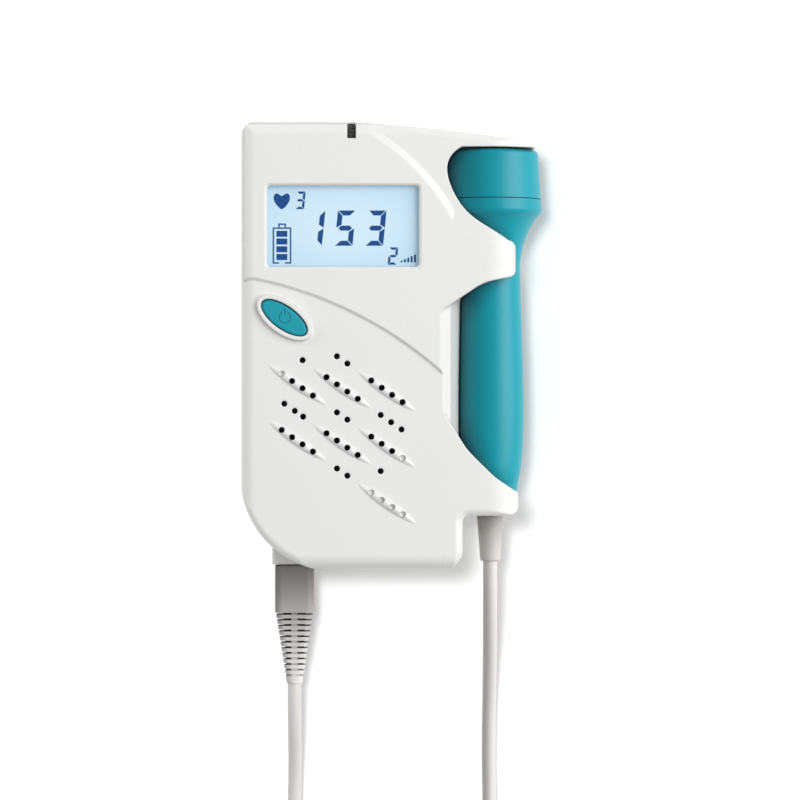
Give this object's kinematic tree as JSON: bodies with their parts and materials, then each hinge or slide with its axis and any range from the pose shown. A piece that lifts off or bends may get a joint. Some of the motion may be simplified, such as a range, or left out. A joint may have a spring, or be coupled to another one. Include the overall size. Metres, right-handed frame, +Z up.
{
  "type": "fetal doppler monitor",
  "caption": "Handheld fetal doppler with a display, a speaker grille and a power button, and a probe on a cable that parks in a bay along its right side.",
  "frame": {"origin": "bottom centre of the bounding box of the unit with its parked probe, on the surface it lies on, without the cable and its plug", "axes": "+Z up out of the front face with the display, +Y along the unit towards the probe's head, +X towards the side the probe is parked on"},
  "size_m": [0.091, 0.2776, 0.032],
  "materials": {
    "white_shell": "moulded, satin gloss",
    "teal_plastic": "moulded, satin gloss",
    "grey_rubber": "matt",
    "dark_rubber": "matt",
    "cord_jacket": "smooth, matt",
    "clear_lens": "clear, polished",
    "display": "liquid crystal panel",
    "light_guide": "frosted",
    "black_plastic": "moulded, matt",
    "socket_plastic": "moulded, matt",
    "clear_plug": "clear polycarbonate",
    "gold_contact": "gold plated",
    "spring_steel": "nickel plated",
    "screw_steel": "zinc plated",
    "shield_tin": "tinned",
    "wire_copper": "enamelled copper",
    "cell_can": "plain sleeve",
    "board": "solder resist",
    "speaker_paper": "pressed paper",
    "magnet_cup": "zinc plated",
    "probe_window": "cast resin",
    "crystal": "fired ceramic"
  },
  "bodies": {
    "unit": {"front_cover": "white_shell", "front_bay": "white_shell", "rear_cover": "white_shell", "rear_bay": "white_shell", "case_screws": "screw_steel", "battery_1": "cell_can", "battery_2": "cell_can", "battery_springs": "spring_steel", "battery_contacts": "spring_steel", "main_board": "board", "board_screws": "screw_steel", "board_components": "black_plastic", "display_lens": "clear_lens", "display_panel": "display", "display_frame": "black_plastic", "display_light": "light_guide", "contact_strip": "dark_rubber", "speaker_gasket": "dark_rubber", "speaker_frame": "black_plastic", "speaker_cone": "speaker_paper", "speaker_magnet": "magnet_cup", "button_switch": "black_plastic", "volume_pot": "spring_steel", "headphone_jack": "black_plastic", "probe_socket": "socket_plastic", "socket_contacts": "gold_contact", "cord_plug_lead": "cord_jacket", "cord_coil": "cord_jacket", "cord_probe_lead": "cord_jacket"},
    "door": {"battery_door": "white_shell"},
    "button": {"power_button": "teal_plastic"},
    "wheel": {"volume_wheel": "black_plastic"},
    "probe": {"probe_cap": "teal_plastic", "probe_handle": "teal_plastic", "probe_face": "probe_window", "probe_crystals": "crystal", "probe_backing": "dark_rubber", "probe_board": "board", "probe_shield": "shield_tin", "probe_wires": "wire_copper", "probe_relief": "grey_rubber"},
    "plug": {"plug_nose": "clear_plug", "plug_contacts": "gold_contact", "plug_boot": "grey_rubber"}
  },
  "joints": [
    {"name": "button_press", "type": "slide", "parent": "unit", "child": "button", "axis": [0, 0, -1], "range_m": [0, 0.0008], "stiffness_N_per_m": 1500, "springref_m": -0.0004},
    {"name": "volume_turn", "type": "hinge", "parent": "unit", "child": "wheel", "pos_m": [-0.01215, 0.0606, 0.0229], "axis": [1, 0, 0], "range_deg": [-135, 135]},
    {"name": "probe_slide", "type": "slide", "parent": "unit", "child": "probe", "axis": [1, 0, 0], "range_m": [0, 0.06], "deforming": ["cord_probe_lead"]},
    {"name": "plug_pull", "type": "slide", "parent": "unit", "child": "plug", "axis": [0, -1, 0], "range_m": [0, 0.015], "deforming": ["cord_plug_lead"]},
    {"name": "door_slide", "type": "slide", "parent": "unit", "child": "door", "axis": [0, -1, 0], "range_m": [0, 0.045]}
  ]
}
